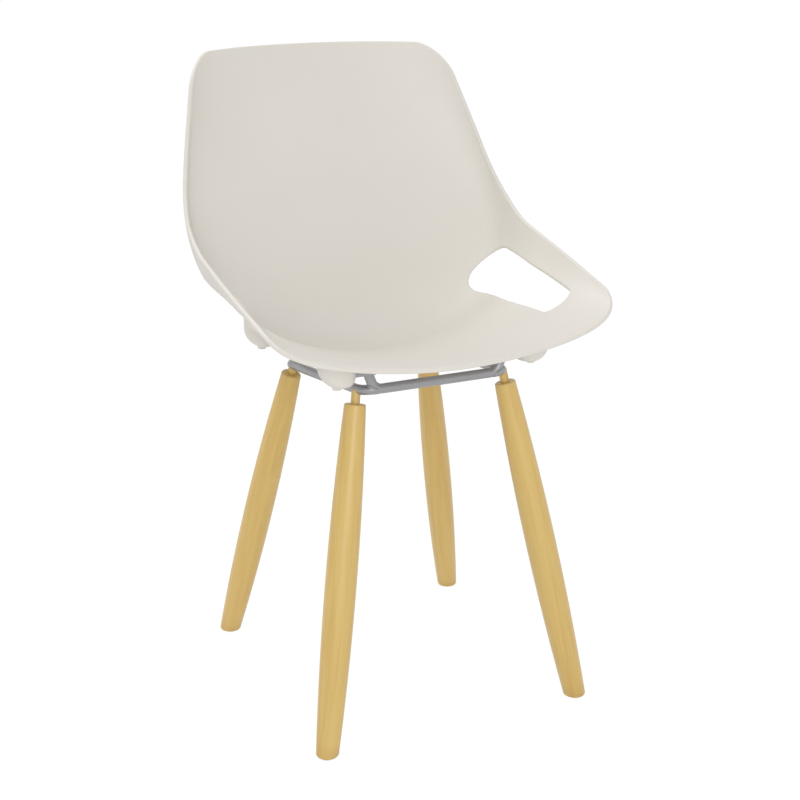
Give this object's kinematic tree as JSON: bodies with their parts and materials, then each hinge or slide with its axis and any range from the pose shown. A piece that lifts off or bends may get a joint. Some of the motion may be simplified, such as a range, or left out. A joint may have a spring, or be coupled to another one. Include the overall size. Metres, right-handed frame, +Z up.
{
  "type": "moulded shell armchair",
  "caption": "Dining armchair with a one-piece moulded plastic shell, openings under the arms, a bent steel rod underframe and turned wooden legs.",
  "frame": {"origin": "on the floor, at the middle of the chair's outer box", "axes": "+Z up, the front of the seat faces -Y, the sitter's left hand is at +X"},
  "size_m": [0.459, 0.4859, 0.7956],
  "materials": {
    "shell_plastic": "fine satin, warm off-white",
    "cap_plastic": "satin, warm off-white",
    "frame_steel": "satin silver grey powder coat",
    "leg_wood": "clear satin lacquer on light beech",
    "zinc_steel": "zinc plated",
    "insert_brass": "machined",
    "glide_plastic": "plain moulded"
  },
  "bodies": {
    "root": {"seat_shell": "shell_plastic", "mount_front_left": "shell_plastic", "screw_cap_front_left": "cap_plastic", "mount_screw_front_left": "zinc_steel", "threaded_insert_front_left": "insert_brass", "mount_front_right": "shell_plastic", "screw_cap_front_right": "cap_plastic", "mount_screw_front_right": "zinc_steel", "threaded_insert_front_right": "insert_brass", "mount_rear_left": "shell_plastic", "screw_cap_rear_left": "cap_plastic", "mount_screw_rear_left": "zinc_steel", "threaded_insert_rear_left": "insert_brass", "mount_rear_right": "shell_plastic", "screw_cap_rear_right": "cap_plastic", "mount_screw_rear_right": "zinc_steel", "threaded_insert_rear_right": "insert_brass", "front_rod": "frame_steel", "rear_rod": "frame_steel", "side_rod_left": "frame_steel", "side_rod_right": "frame_steel", "leg_front_left": "leg_wood", "leg_stud_front_left": "zinc_steel", "glide_front_left": "glide_plastic", "glide_nail_front_left": "zinc_steel", "leg_front_right": "leg_wood", "leg_stud_front_right": "zinc_steel", "glide_front_right": "glide_plastic", "glide_nail_front_right": "zinc_steel", "leg_rear_left": "leg_wood", "leg_stud_rear_left": "zinc_steel", "glide_rear_left": "glide_plastic", "glide_nail_rear_left": "zinc_steel", "leg_rear_right": "leg_wood", "leg_stud_rear_right": "zinc_steel", "glide_rear_right": "glide_plastic", "glide_nail_rear_right": "zinc_steel"}
  },
  "joints": []
}
